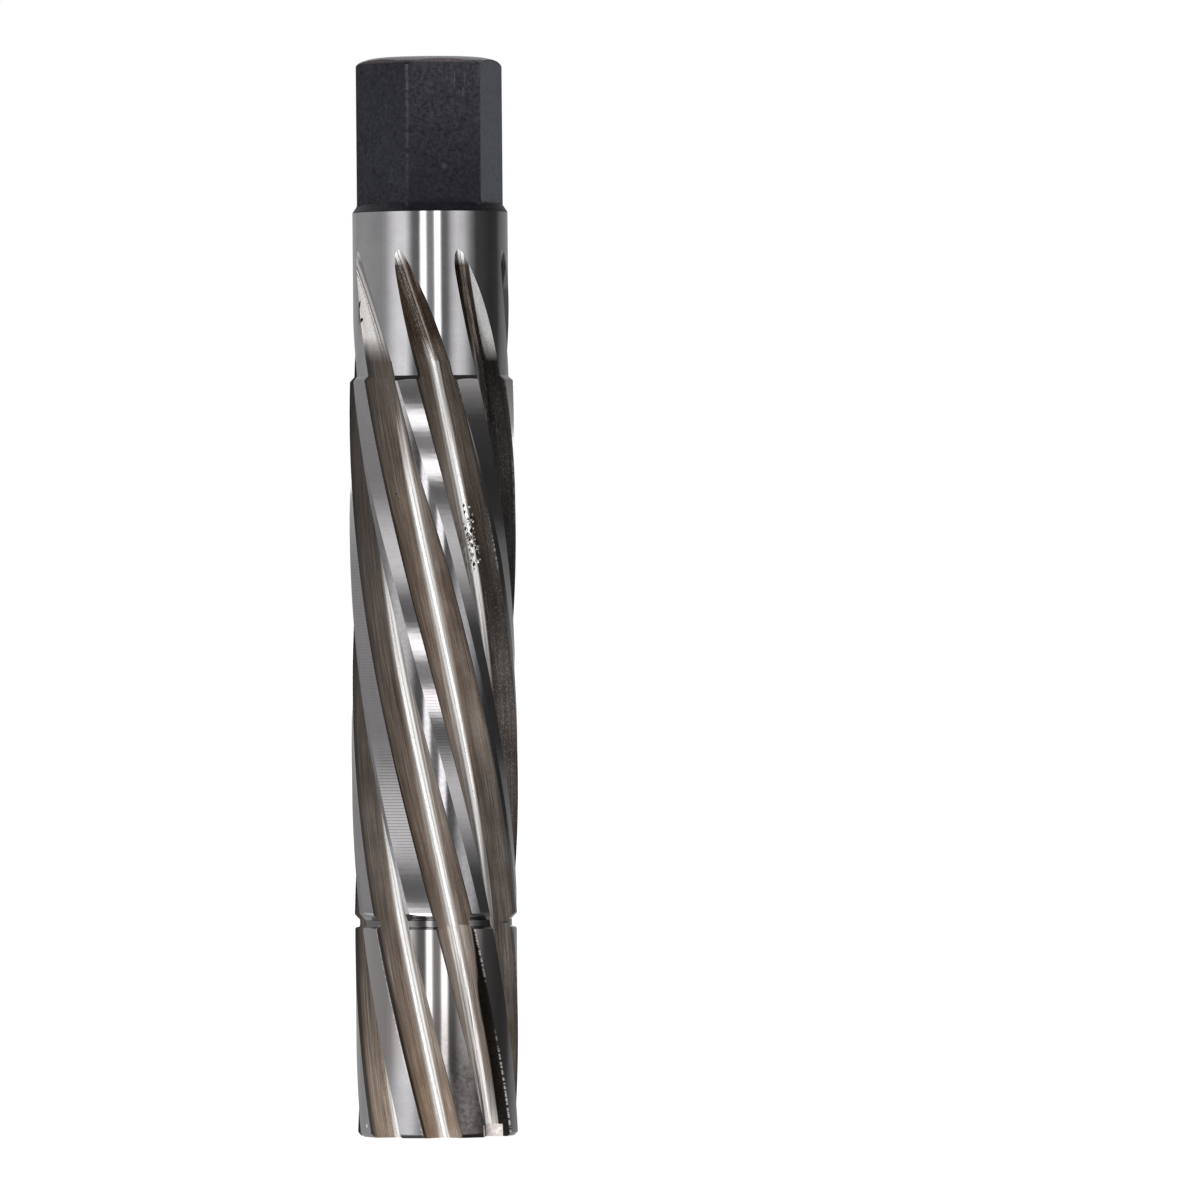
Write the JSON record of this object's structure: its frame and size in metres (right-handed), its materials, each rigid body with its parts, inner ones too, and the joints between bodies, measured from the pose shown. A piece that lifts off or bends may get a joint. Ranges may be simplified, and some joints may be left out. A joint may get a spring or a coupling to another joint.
{
  "type": "bushing reamer",
  "caption": "Hand reamer for bushes: a black hex drive, a plain ground pilot, a left-hand spiral fluted cutting section and a fluted front pilot, all in one bar.",
  "frame": {"origin": "centre of the flat front face that it stands on", "axes": "+Z along the tool's axis from the front pilot to the hex drive, -Y towards the camera of the picture, +X to its right"},
  "size_m": [0.024, 0.024, 0.1556],
  "materials": {
    "tool_steel": "ground and polished tool steel, with brownish polished flutes and a blackened hex drive"
  },
  "bodies": {
    "root": {"bushing_reamer": "tool_steel"}
  },
  "joints": []
}
